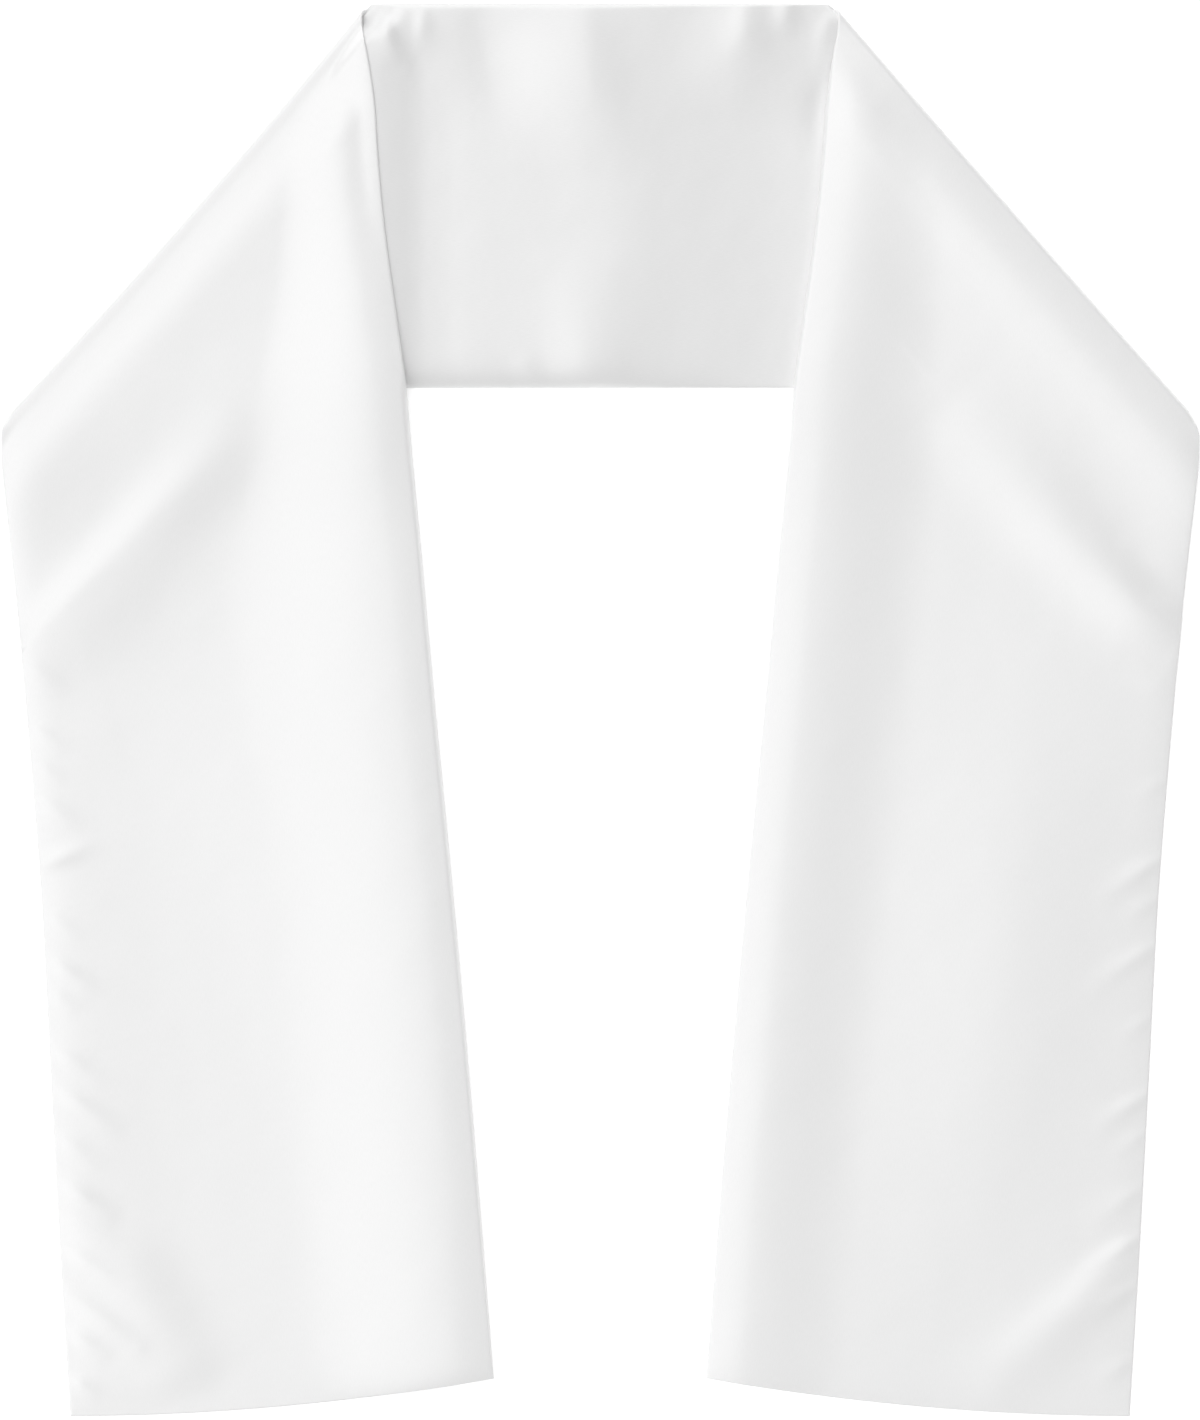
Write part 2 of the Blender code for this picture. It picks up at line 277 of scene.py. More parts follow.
def with_soft_outline(side, out, up):
    """Hollow the fold a little, and round the corners."""
    share = np.clip(along_fold(out, up) / FOLD_LENGTH, 0.0, 1.0)
    dying_away = np.exp(-((inside_fold(out, up) / BOW_REACH) ** 2))
    bow = FOLD_BOW[side] * 4.0 * share * (1.0 - share) * dying_away
    out, up = out + INTO_CLOTH[0] * bow, up + INTO_CLOTH[1] * bow
    for corner, first, second, radius in CORNERS:
        half, middle = abs(first - second) / 2, (first + second) / 2
        centre_out = corner[0] - math.cos(middle) * radius / math.cos(half)
        centre_up = corner[1] - math.sin(middle) * radius / math.cos(half)
        away_out, away_up = out - centre_out, up - centre_up
        reach = np.hypot(away_out, away_up)
        turn = np.abs(np.arctan2(away_up, away_out) - middle)
        full = radius / np.cos(half - np.minimum(turn, half))
        pulled = 1.0 - (1.0 - radius / full) * np.minimum(reach / full, 1.0) ** 4
        pulled = np.where((turn >= half) | (reach < radius / 4), 1.0, pulled)
        out, up = centre_out + away_out * pulled, centre_up + away_up * pulled
    return out, up


shoulder_corner = with_soft_outline("left", 371.0, 179.1)
print("the shoulder corner comes to", [round(float(place), 1) for place in shoulder_corner])

# %% [markdown]
# ## Creases, placed one by one
# Satin shows every slight slope, so its creases are the look of this piece. A cloth simulation would give
# some creases, but not these ones, so each is listed one by one. A crease is a soft ridge along a curved
# line:
# a few rows give where it runs, how wide it is on its left-hand and its right-hand side, going along it,
# and how high. A height below zero is a trough. The two widths differ because a ridge of folded cloth is
# mostly steep on one side and easy on the other.

# %% How a crease raises the cloth
STEPS_A_ROW = 8  # straight steps between two rows of a crease
FADED = 3.5  # a ridge has died away this many half widths from its line


def crease_height(creases, across, up):
    """The sum of all ridges and troughs at points of the plan."""
    total = np.zeros_like(across)
    for rows in creases:
        rows = np.array(rows, float)
        knots = np.arange(len(rows))
        steps = np.linspace(0, len(rows) - 1, STEPS_A_ROW * (len(rows) - 1) + 1)
        path = np.array([curve_through(list(zip(knots, column)), steps) for column in rows.T]).T
        centre = rows[:, :2].mean(axis=0)
        reach = np.hypot(*(rows[:, :2] - centre).T).max() + FADED * rows[:, 2:4].max()
        picked = np.hypot(across - centre[0], up - centre[1]) < reach
        x, y = across[picked], up[picked]
        best = np.full(x.shape, np.inf)
        height = np.zeros(x.shape)
        for a, b in zip(path[:-1], path[1:]):
            step = b[:2] - a[:2]
            share = np.clip(((x - a[0]) * step[0] + (y - a[1]) * step[1]) / (step @ step), 0.0, 1.0)
            off_x, off_y = x - a[0] - step[0] * share, y - a[1] - step[1] * share
            off = np.hypot(off_x, off_y)
            left = step[0] * off_y - step[1] * off_x > 0
            width = np.where(left, blend(a[2], b[2], share), blend(a[3], b[3], share))
            raised = blend(a[4], b[4], share) * np.exp(-((off / width) ** 2))
            closer = off < best
            best = np.where(closer, off, best)
            height = np.where(closer, raised, height)
        total[picked] += height
    return total


# %% [markdown]
# ### The creases of the two fronts
# Both fronts have a swell that follows the shoulder fold, and a second ridge that runs from the outer seam
# up towards the neck. Down its middle the left one has a broad easy valley, and the right one a broad easy
# ridge. The rest differs from side to side too, as it does when cloth is laid by hand.

# %% Crease tables of the fronts
FRONT_CREASES = {
    # rows of (out, up, half width on the left-hand side, half width on the right-hand side, height)
    "left": [
        # the second ridge, from the seam up towards the neck
        [
            (352, 42, 30, 9, 2.2),
            (328, 66, 38, 13, 3.4),
            (298, 96, 34, 15, 3.3),
            (265, 130, 25, 18, 2.9),
            (240, 160, 22, 20, 1.8),
            (220, 188, 20, 20, 0.4),
        ],
        # the broad valley down the middle
        [
            (286, -60, 50, 60, -1.2),
            (256, -170, 54, 70, -2.0),
            (240, -290, 50, 70, -2.3),
            (236, -414, 46, 66, -2.3),
        ],
        # low ridges at the outer corner
        [
            (334, -308, 8, 10, 0.9),
            (312, -328, 15, 15, 1.6),
            (286, -354, 22, 24, 2.5),
            (260, -402, 28, 32, 2.9),
        ],
        [(331, -362, 7, 5, 1.4), (308, -376, 10, 5, 1.9), (288, -392, 12, 8, 0.8)],
    ],
    "right": [
        [
            (358, 44, 18, 12, 3.4),
            (335, 60, 20, 15, 5.2),
            (308, 88, 22, 20, 5.4),
            (281, 116, 24, 26, 5.0),
            (248, 156, 26, 32, 3.4),
            (216, 192, 26, 34, 1.0),
        ],
        [(364, 84, 7, 7, 0.4), (348, 92, 8, 8, 0.6), (332, 102, 9, 9, 0.2)],
        # a broad easy ridge down the middle
        [
            (272, 0, 60, 60, 1.2),
            (258, -80, 56, 60, 2.8),
            (250, -200, 56, 60, 2.9),
            (226, -310, 50, 60, 1.0),
        ],
        [
            (326, -340, 10, 9, 1.0),
            (304, -360, 15, 12, 2.0),
            (276, -386, 20, 16, 2.0),
            (246, -412, 20, 18, 1.0),
        ],
    ],
}
print({side: len(rows) for side, rows in FRONT_CREASES.items()}, "creases by hand")

# %% [markdown]
# ### Puckers along the seam
# A turned seam is a touch shorter than the cloth beside it, so short puckers fan in from it. Each row says
# how far up the seam the pucker starts, how far in it reaches, how far it drops on the way, and its size.

# %% Pucker tables
FRONT_PUCKERS = {
    "left": [
        # up at the seam, reach inwards, drop on the way, half width, height
        (30, 29, 20, 4.5, 0.6),
        (-8, 26, 18, 4.0, 0.9),
        (-30, 23, 16, 4.0, 0.8),
        (-52, 34, 24, 5.0, 1.0),
        (-96, 39, -16, 5.0, 1.2),
        (-124, 26, 18, 4.0, 0.9),
        (-152, 34, 24, 4.5, 1.6),
        (-172, 21, 15, 4.0, 0.9),
        (-208, 36, 25, 5.0, 1.2),
        (-232, 44, 31, 5.0, 1.6),
        (-262, 31, 22, 5.0, 1.0),
        (-290, 39, 27, 5.0, 1.8),
        (-330, 39, 27, 5.0, 1.5),
        (-382, 29, 20, 5.0, 1.5),
        (-412, 21, 15, 4.0, 1.2),
    ],
    "right": [
        (62, 26, -10, 5.0, 0.6),
        (10, 31, -12, 5.0, 0.5),
        (-42, 26, 18, 4.0, 0.4),
        (-92, 39, 27, 5.0, 0.9),
        (-116, 23, 16, 4.0, 0.5),
        (-146, 42, 29, 5.0, 0.8),
        (-190, 23, 16, 4.0, 0.5),
        (-238, 36, 25, 5.0, 0.9),
        (-262, 23, 16, 4.0, 0.5),
        (-296, 34, 24, 5.0, 0.6),
        (-326, 44, 31, 5.0, 1.0),
        (-356, 34, 24, 5.0, 0.8),
        (-402, 26, 18, 5.0, 0.6),
    ],
}


PUCKER_SHAPE = [
    # share of the reach, share of the drop, width and height, as shares of the pucker's own
    (0.0, 0.0, 0.7, 0.7),
    (0.33, 0.28, 1.0, 1.0),
    (0.66, 0.6, 1.2, 0.5),
    (1.0, 1.0, 1.4, 0.0),
]


def pucker(seam, up, reach, drop, half_width, height):
    """One pucker as a crease, running in from the seam and fading at its inner end."""
    return [
        (seam - reach * inwards, up - drop * down, half_width * wide, half_width * wide, height * high)
        for inwards, down, wide, high in PUCKER_SHAPE
    ]


SEAM_CREASES = {
    side: [pucker(float(outer_edge(row[0])), *row) for row in rows]
    for side, rows in FRONT_PUCKERS.items()
}
print({side: len(rows) for side, rows in SEAM_CREASES.items()}, "puckers")

# %% [markdown]
# ### The back
# The back stands high and nearly level from its left end to the middle, highest beside the left front, and
# slopes down to the right. A soft rib runs in from either edge a little left of the middle, with a hollow
# beside its upper end. Near the neck corners the top edge is gathered into small tucks as it enters the
# shoulder folds.

# %% Crease tables of the back
BACK_AIR = [
    # across, air between the plies
    (-152.0, 6.2),
    (-130.0, 6.5),
    (-100.0, 7.2),
    (-80.0, 7.3),
    (-52.0, 7.0),
    (-30.0, 6.8),
    (-5.0, 6.8),
    (10.0, 6.6),
    (25.0, 5.9),
    (50.0, 4.1),
    (80.0, 2.0),
    (108.0, 0.4),
    (124.0, -0.2),
    (152.0, -0.6),
]
LEFT_BULGE = [
    # across, how much higher the back stands beside the left front
    (-152.0, 6.0),
    (-145.0, 5.9),
    (-138.0, 5.3),
    (-131.0, 4.3),
    (-124.0, 3.1),
    (-117.0, 1.8),
    (-110.0, 0.8),
    (-103.0, 0.3),
    (-95.0, 0.0),
    (-80.0, 0.0),
]
BACK_CREASES = [
    # rows of (across, up, half width on the left-hand side, half width on the right-hand side, height)
    # the rib's upper end
    [
        (-12, 438, 18, 34, 1.0),
        (-12, 420, 20, 36, 2.2),
        (-9, 392, 22, 36, 2.4),
        (-4, 360, 24, 34, 1.2),
        (0, 330, 26, 32, 0.0),
    ],
    # the hollow beside it
    [
        (-74, 438, 16, 16, -0.6),
        (-70, 415, 26, 18, -2.2),
        (-64, 390, 28, 20, -1.9),
        (-58, 360, 28, 24, -0.5),
        (-56, 340, 28, 26, 0.0),
    ],
    # and its lower end
    [(-6, 196, 16, 20, 1.6), (-8, 216, 20, 24, 1.8), (-7, 250, 24, 26, 1.2), (-6, 290, 26, 28, 0.0)],
    # the swell between the tucks at the right
    [(90, 440, 45, 22, 1.6), (90, 422, 45, 24, 2.2), (84, 396, 45, 26, 1.5), (76, 364, 45, 28, 0.0)],
    [(-40, 196, 6, 5, 0.5), (-46, 212, 8, 8, 0.4)],
]
NECK_TUCKS = [
    # the lip round the pocket beside the left front
    [
        (-143, 432, 4, 3.5, 0.4),
        (-136, 428, 3.5, 7, 0.9),
        (-131, 420, 2.8, 8, 1.4),
        (-127, 410, 3, 9, 1.2),
        (-121, 400, 5, 10, 0.3),
    ],
    [(-109, 434, 5, 5, 0.4), (-110, 424, 6, 4, 0.8), (-110, 410, 8, 6, 0.3)],
    [(91, 438, 11, 7, 0.9), (90, 420, 14, 9, 1.2), (84, 402, 16, 12, 0.3)],
    [(116, 438, 6, 6, 1.0), (115, 429, 7, 7, 0.9), (113, 416, 7, 7, 0.1)],
    [(148, 430, 3, 3, 0.5), (142, 427, 4, 3.5, 0.6), (138, 416, 5, 4, 0.5), (136, 400, 6, 5, 0.2)],
    [(140, 392, 6, 6, -0.4), (136, 374, 8, 8, -1.1), (134, 350, 6, 8, -0.3)],
]
print(len(BACK_CREASES), "creases and", len(NECK_TUCKS), "tucks on the back")

# %% [markdown]
# ## Heights
# Each stretch has a lower ply, which lies on what is under it, and an upper ply, which swells off it with
# air between. Along the soft folded edge the swell is highest, because the satin doesn't want to crease
# sharply there. It dies away towards the sewn edge.

# %% Swell of the fronts
DOUBLE = 1.2  # thickness of the two plies where they are sewn
TABLE = 0.15  # the lower face of the cloth, above the table
LAYER_GAP = 0.4  # between a front and the back that it lies on
PLY_AIR = 0.2  # between the plies of the back where they are pressed together
INNER_SWELL = {
    "left": [
        # up, crest in from the edge, steep height, dies over, easy height, dies over, drop to the edge
        (437.0, 8.0, 0.8, 30.0, 0.0, 90.0, 0.4),
        (400.0, 18.0, 2.6, 34.0, 0.0, 110.0, 0.6),
        (340.0, 20.0, 4.6, 40.0, 0.0, 120.0, 1.4),
        (280.0, 20.0, 6.6, 50.0, 0.0, 120.0, 1.4),
        (190.0, 21.0, 8.2, 76.0, 0.0, 130.0, 1.5),
        (130.0, 21.0, 8.2, 90.0, 0.2, 130.0, 1.4),
        (60.0, 20.0, 8.4, 108.0, 0.6, 140.0, 1.3),
        (0.0, 20.0, 7.0, 108.0, 2.2, 160.0, 1.3),
        (-100.0, 19.0, 5.8, 96.0, 3.6, 160.0, 1.2),
        (-200.0, 19.0, 6.0, 96.0, 2.6, 150.0, 1.2),
        (-300.0, 20.0, 6.2, 98.0, 2.0, 140.0, 1.2),
        (-413.0, 22.0, 6.0, 94.0, 1.6, 130.0, 1.2),
    ],
    "right": [
        (437.0, 6.0, 0.8, 30.0, 0.0, 100.0, 0.2),
        (400.0, 14.0, 2.6, 40.0, 0.0, 100.0, 0.8),
        (340.0, 18.0, 4.0, 50.0, 0.1, 120.0, 1.1),
        (280.0, 20.0, 5.2, 62.0, 0.2, 140.0, 1.2),
        (200.0, 20.0, 5.8, 72.0, 0.2, 150.0, 1.3),
        (60.0, 21.5, 5.0, 72.0, 0.0, 150.0, 1.9),
        (-100.0, 21.5, 4.6, 68.0, -0.5, 150.0, 2.0),
        (-280.0, 21.0, 4.4, 66.0, -0.8, 160.0, 2.0),
        (-413.0, 21.0, 3.0, 64.0, 1.0, 200.0, 1.9),
    ],
}
FOLD_SWELL = {
    "left": [
        # inside the fold, how far the upper ply stands above the top of the roll
        (0.0, 0.0),
        (2.8, 0.2),
        (5.0, 0.3),
        (8.0, 0.4),
        (11.0, 0.58),
        (15.0, 0.9),
        (20.0, 1.32),
        (26.0, 1.95),
        (32.0, 2.33),
        (38.0, 2.38),
        (50.0, 1.95),
        (66.0, 1.3),
        (90.0, 0.65),
        (130.0, 0.2),
        (180.0, 0.0),
    ],
    "right": [
        (0.0, 0.0),
        (4.0, 0.7),
        (8.0, 1.7),
        (14.0, 2.8),
        (20.0, 3.6),
        (27.0, 4.0),
        (36.0, 3.5),
        (50.0, 2.0),
        (70.0, 0.7),
        (110.0, 0.1),
        (180.0, 0.0),
    ],
}
SEAM_AIR = {"left": 2.4, "right": 1.2}  # between the plies, away from both edges
RESTS_AT = {"left": 5.6, "right": 3.2}  # the level that a front keeps where it lies on the back


def from_table(rows, k, at):
    """A smooth curve through column k of a table, whose first column says where."""
    return curve_through([(row[0], row[k]) for row in rows], at)


print("tallest crest of the left front:", max(row[2] for row in INNER_SWELL["left"]), "mm")

# %% [markdown]
# ### The back's upper face
# The back swells only where it shows. It is pressed flat under a front, at its own seam and where it enters
# a shoulder fold. Each of these is a smooth share from 0 to 1, and the swelling is multiplied by them all.

# %% Height of the back
PRESSED_BY = 60.0  # how far under a front the back is pressed flat
SEWN_FLAT_OVER = 6.0  # how fast the swelling starts, away from the sewn edge
EASES_AT_CORNER = 24.0  # how far round the neck corner the gathered cloth is held down
HELD_DOWN_TO = 0.4  # the share of its swelling that is left at that corner
BULGE_GROWS_OVER = 34.0  # how far down from the top edge the bulge beside the left front takes to grow
FOLD_FLATTENS_OVER = 13.0
TUCKS_REACH_UNDER = 14.0  # how far under a front the tucks go on
TUCKS_FADE_OVER = 12.0


def back_top(across, up):
    """Height of the back's upper face."""
    out = np.abs(across)
    bulge = from_table(LEFT_BULGE, 1, np.clip(across, LEFT_BULGE[0][0], LEFT_BULGE[-1][0]))
    swelling = from_table(BACK_AIR, 1, np.clip(across, BACK_AIR[0][0], BACK_AIR[-1][0]))
    swelling = swelling + crease_height(BACK_CREASES, across, up)
    swelling = swelling + bulge * ease((TOP_EDGE - up + 12.0) / BULGE_GROWS_OVER)
    from_neck_corner = np.hypot(out - SHOULDER_MEETS_TOP, up - TOP_EDGE)
    shows = ease((inner_edge(up) - out + PRESSED_BY) / (PRESSED_BY + 2.0))
    shows = shows * ease((inside_fold(out, up) - 2.0) / FOLD_FLATTENS_OVER)
    shows = shows * blend(HELD_DOWN_TO, 1.0, ease(from_neck_corner / EASES_AT_CORNER))
    tucks = crease_height(NECK_TUCKS, across, up)
    tucks = tucks * ease((inner_edge(up) - out + TUCKS_REACH_UNDER) / TUCKS_FADE_OVER)
    sewn = rise(up - back_seam(out), SEWN_FLAT_OVER)
    return TABLE + DOUBLE + PLY_AIR + (above_nothing(swelling) * shows + tucks) * sewn


middle_of_back = back_top(np.zeros(1), np.full(1, (TOP_EDGE + BACK_SEAM) / 2))
print("middle of the back:", round(float(middle_of_back[0]), 1), "mm high")

# %% [markdown]
# ### The two faces of a front
# A front's lower ply is the easier one: it lies on the table, or on the back, or hangs from the roll. Its
# upper ply has a level of its own, and on that the swell of the inner edge, the swell behind the fold and
# the creases. Both leave the roll at its height and ease away from it.

# %% Heights of a front
STEPS_OFF_BACK_OVER = 26.0  # how far the lower ply takes from the back's edge to the table
UPPER_STEPS_OVER = 110.0  # the upper ply is stiffened by the air in it, and takes far longer
LOWER_LEAVES_ROLL = 13.0  # how far from the roll the lower ply comes down
UPPER_LEAVES_ROLL = 38.0  # and the upper ply
SWELL_STARTS_OVER = 40.0  # how far from the roll the edge's swell takes to reach its height
CREASES_START_OVER = 20.0


def top_of_fold(out, up):
    return TABLE + 2 * fold_radius(along_fold(out, up))


def front_under(side, out, up):
    """Height of a front's lower face: on the end of the back, and below that on the table."""
    on_back = back_top(out if side == "right" else -out, up) + LAYER_GAP
    lying = blend(TABLE, on_back, ease((up - back_seam(out)) / STEPS_OFF_BACK_OVER + 1.0))
    inside = inside_fold(out, up)
    at_fold = top_of_fold(out, up) - DOUBLE_AT_FOLD + from_table(FOLD_SWELL[side], 1, inside)
    return blend(lying, np.maximum(at_fold, lying), ebb(inside - FOLD_DEPTH, LOWER_LEAVES_ROLL))


def edge_swell(side, out, up):
    """The crest that follows a front's inner edge, steep near it and easy farther in."""
    crest_in, steep, steep_over, easy, easy_over, drop = (
        from_table(INNER_SWELL[side], k, up) for k in range(1, 7)
    )
    beyond = out - inner_edge(up) - crest_in
    swell = steep * (1.0 - ease(beyond / steep_over)) + easy * (1.0 - ease(beyond / easy_over))
    return swell - drop * np.clip(-beyond / crest_in, 0.0, 1.2) ** 1.5


def front_top(side, out, up):
    """Height of a front's upper face, away from the roll of its inner edge and from its seams."""
    inside = inside_fold(out, up)
    past_fold = inside - FOLD_DEPTH
    resting = blend(TABLE, RESTS_AT[side], ease((up - back_seam(out)) / UPPER_STEPS_OVER + 0.8))
    level = resting + DOUBLE + SEAM_AIR[side]
    level = blend(level, top_of_fold(out, up), ebb(past_fold, UPPER_LEAVES_ROLL))
    creases = crease_height(FRONT_CREASES[side], out, up) + crease_height(SEAM_CREASES[side], out, up)
    lift = from_table(FOLD_SWELL[side], 1, np.maximum(inside, 0.0))
    swell = edge_swell(side, out, up) * ease(past_fold / SWELL_STARTS_OVER)
    return level + lift + swell + creases * ease(past_fold / CREASES_START_OVER)


print("tallest part of the fold:", round(TABLE + 2 * FOLD_RADIUS, 1), "mm")

# %% [markdown]
# ## A point of the cloth
# Three functions say where a point of the strip lies: on a front, in the roll of a shoulder fold, and on
# the back. Each takes a share of the way along its stretch, a share of the way across from the folded edge
# to the seam, and whether the point is on the upper ply. Each also gives the point's place on the flat,
# uncut cloth, which becomes its UV. The cloth doesn't stretch, so that is just its plan place, turned so
# that the strip runs straight.

# %% Place on the flat cloth, and a sewn edge
EDGE_LEANS_OUT = 80.9  # how far the inner edge of a front leans outwards
EDGE_RUNS_UP = 837.5  # over this length
STRIP_TILT = math.atan2(EDGE_LEANS_OUT, EDGE_RUNS_UP)
FOLDED_EDGE_AT = 104.0  # where that edge lies across the tilted plan
SEAM_NOSE = 1.4  # how far in from the seam the plies start to close
NOSE_FLATNESS = 0.25  # the share of its thickness that the seam's very edge keeps


def flat_place(out, up, upper):
    """Where a point of a front lies on the flat strip, its lower ply on the other side of the fold."""
    across = out * math.cos(STRIP_TILT) - up * math.sin(STRIP_TILT) - FOLDED_EDGE_AT
    along = up * math.cos(STRIP_TILT) + out * math.sin(STRIP_TILT)
    return np.where(upper, across, -across), along


def sewn_shut(share_across, from_seam, middle, height):
    """Bring the two plies together at a sewn edge."""
    closing = quarter_round(from_seam / SEAM_NOSE)
    height = blend(middle, height, blend(NOSE_FLATNESS, 1.0, closing))
    return np.where(share_across >= 1.0, middle, height)


print("the strip leans", round(math.degrees(STRIP_TILT), 1), "degrees")

# %% [markdown]
# ### On a front
# Near a sewn edge both plies lift off the table together. So the air under the upper ply is shared out: the
# shared part goes under the lower ply, and the rest stays between them and closes at the sewn end. The
# inner edge is no seam but a roll, whose radius is half of what is between the plies there.

# %% Rows of a front
BOW_STARTS = 0.45  # the share of the way down from which the rows bow like the hem


def front_plan(share_down, share_across):
    """A point's own place in the plan, the inner end of its row, and the row's length."""
    inner_up = from_table(ROWS_OF_FRONT, 1, share_down)
    outer_up = from_table(ROWS_OF_FRONT, 2, share_down)
    inner_out, outer_out = inner_edge(inner_up), outer_edge(outer_up)
    bow = HEM_BOW * ease((share_down - BOW_STARTS) / (1.0 - BOW_STARTS))
    out = blend(inner_out, outer_out, share_across)
    up = blend(inner_up, outer_up, share_across) - 4.0 * bow * share_across * (1.0 - share_across)
    return out, up, inner_out, inner_up, np.hypot(outer_out - inner_out, outer_up - inner_up)


half_way_down = front_plan(np.array([0.5]), np.array([0.5]))
print("a front is", round(float(half_way_down[-1][0])), "mm wide half way down")

# %% Air near a sewn end, and the roll of the inner edge
SHARED_BY_END = 40.0  # how far up from the sewn end the lifting dies away
SHARE_AT_END = 0.85
END_CLOSES_OVER = 3.0


def shared_at_end(from_end):
    return SHARE_AT_END * np.exp(-from_end / SHARED_BY_END)


def closed_at_end(air, shared, from_end):
    return air * (shared + (1.0 - shared) * rise(from_end + 0.6, END_CLOSES_OVER))


def inner_roll(side, out, up, double):
    """The middle height and the radius of the roll along a front's inner edge."""
    under = front_under(side, out, up)
    top = np.maximum(front_top(side, out, up) - 0.5 * SEAM_AIR[side], under + double)
    from_end = np.maximum(up - END_OF_INNER_EDGE, 0.0)
    shared = shared_at_end(from_end)
    air = closed_at_end(top - under - double, shared, from_end)
    radius = np.maximum(double / 2, (air * (1.0 - shared) + double) / 2)
    return under + air * shared + radius, radius


radius = inner_roll("left", inner_edge(np.zeros(1)), np.zeros(1), DOUBLE)[1]
print("radius of the left front's inner roll, half way down:", round(float(radius[0]), 1), "mm")

# %% Points of a front
SHARED_BY_SEAM = 22.0  # how far in from the seam the lifting dies away
SWELLS_FROM_SEAM = 9.0  # how fast the plies part, away from a sewn edge
SWELLS_FROM_EDGE = 20.0  # and away from the folded edge
SETTLES_OVER = 14.0  # how far from the roll the plies take to lie close again
SMALLEST_ROLL = 1.5


def front_point(side, share_down, share_across, upper):
    """A point of a front: out, up, height, and its two places on the flat cloth."""
    out, up, inner_out, inner_up, width = front_plan(share_down, share_across)
    from_edge, from_seam = share_across * width, (1.0 - share_across) * width
    from_end = np.maximum(up - end_of_front(out), 0.0)
    at_fold = ease(1.0 - (inside_fold(out, up) - FOLD_DEPTH) / SETTLES_OVER)
    double = blend(DOUBLE, DOUBLE_AT_FOLD, at_fold)
    under = front_under(side, out, up)
    fades = rise(from_seam, SWELLS_FROM_SEAM) * rise(from_end, SWELLS_FROM_SEAM)
    fades = fades * blend(0.5, 1.0, rise(from_edge, SWELLS_FROM_EDGE))
    swelling = SEAM_AIR[side] * fades
    air = above_nothing(front_top(side, out, up) - SEAM_AIR[side] + swelling - under - double)
    shared = np.maximum(np.exp(-from_seam / SHARED_BY_SEAM), shared_at_end(from_end))
    top = under + double + closed_at_end(air, shared, from_end)
    under = under + above_nothing(air - swelling) * shared

    roll_middle, roll_radius = inner_roll(side, inner_out, inner_up, double)
    middle = (under + top) / 2
    away_from_roll = ease(from_edge / np.maximum(roll_radius, SMALLEST_ROLL) / 2)
    turning = quarter_round(from_edge / np.maximum(0.6 * roll_radius, SMALLEST_ROLL))
    height = blend(roll_middle, middle, away_from_roll)
    height = blend(height, np.where(upper, top, under), turning)
    height = sewn_shut(share_across, np.minimum(from_seam, from_end), middle, height)
    return *with_soft_outline(side, out, up), height, *flat_place(out, up, upper)


hem_corner = front_point("left", np.ones(1), np.ones(1), np.array([True]))
print("the left hem corner, out and up:", [round(float(place[0]), 1) for place in hem_corner[:2]])

# %% [markdown]
# ### In the roll, and on the back
# In the roll of a shoulder fold the strip simply goes half round a circle, a little flattened. The back is
# the plainest stretch: its lower ply is flat on the table, and its upper edge rounds over like the fronts'.


# %% Points of the roll and of the back
def roll_point(side, share_round, share_across, upper):
    """share_round runs from 0, at the foot on the table, to 1, on top of the roll."""
    along_top = blend(TOP_OF_ROLL[0], TOP_OF_ROLL[1], share_across)
    along = along_top - fold_shift(along_top) * (1.0 - share_round)
    full = fold_radius(along_top)
    width = TOP_OF_ROLL[1] - TOP_OF_ROLL[0]
    from_edge, from_seam = share_across * width, (1.0 - share_across) * width
    half = DOUBLE_AT_FOLD / 2
    closing = quarter_round(np.minimum(from_edge, from_seam) / half)
    radius = full - half + half * closing * np.where(upper, 1.0, -1.0)
    turn = math.pi * (share_round - 0.5)
    inside = FOLD_DEPTH * (1.0 - radius * np.cos(turn) / full)
    out, up = fold_point(inside, along)
    unrolled = fold_point(FOLD_DEPTH - math.pi * full * (1.0 - share_round), along)
    lift = from_table(FOLD_SWELL[side], 1, inside) * np.where(share_round > 0.5, 1.0, 0.0)
    height = TABLE + full + radius * np.sin(turn) + lift
    return *with_soft_outline(side, out, up), height, *flat_place(*unrolled, upper)


def back_point(share, share_across, upper):
    """share runs from -1 at the left end to 1 at the right."""
    top_end, low_end = (fold_point(FOLD_DEPTH, foot)[0] for foot in FOOT_OF_ROLL)
    x = blend(top_end, low_end, share_across) * share
    up = blend(TOP_EDGE + 0.5, back_seam(np.abs(low_end * share)), share_across)
    flat = np.where(upper, TOP_EDGE - up, up - TOP_EDGE), x
    width = TOP_EDGE - BACK_SEAM
    from_edge, from_seam = share_across * width, (1.0 - share_across) * width
    at_fold = np.abs(share) > 0.999
    top = np.where(at_fold, TABLE + DOUBLE_AT_FOLD, back_top(x, up))
    at_edge = np.where(at_fold, TABLE + DOUBLE_AT_FOLD, back_top(x, np.full_like(x, TOP_EDGE)))
    radius = (at_edge - TABLE) / 2
    middle = blend((at_edge + TABLE) / 2, (top + TABLE) / 2, ease(from_edge / radius / 2))
    height = blend(middle, np.where(upper, top, TABLE), quarter_round(from_edge / radius))
    height = sewn_shut(share_across, from_seam, middle, height)
    left, right = (with_soft_outline(side, np.abs(x), up) for side in ("left", "right"))
    out, up = np.where(x < 0, left, right)
    return np.sign(x) * out, up, height, *flat


middle_of_seam = back_point(np.zeros(1), np.ones(1), np.array([True]))
print("the middle of the back's seam is up at", round(float(middle_of_seam[1][0]), 1), "mm")

# %% [markdown]
# ## Weaving the mesh
# A stretch is one grid: its rows run along the strip, and its columns run round it, from the seam along the
# lower ply to the folded edge and back over the upper ply. `create_grid` makes the grid flat, every point
# is put in its place, and `remove_doubles` closes the ring at the seam. The rows and columns are closer
# together at the edges, where the cloth turns sharply. Last, a Solidify modifier gives the cloth its wall.

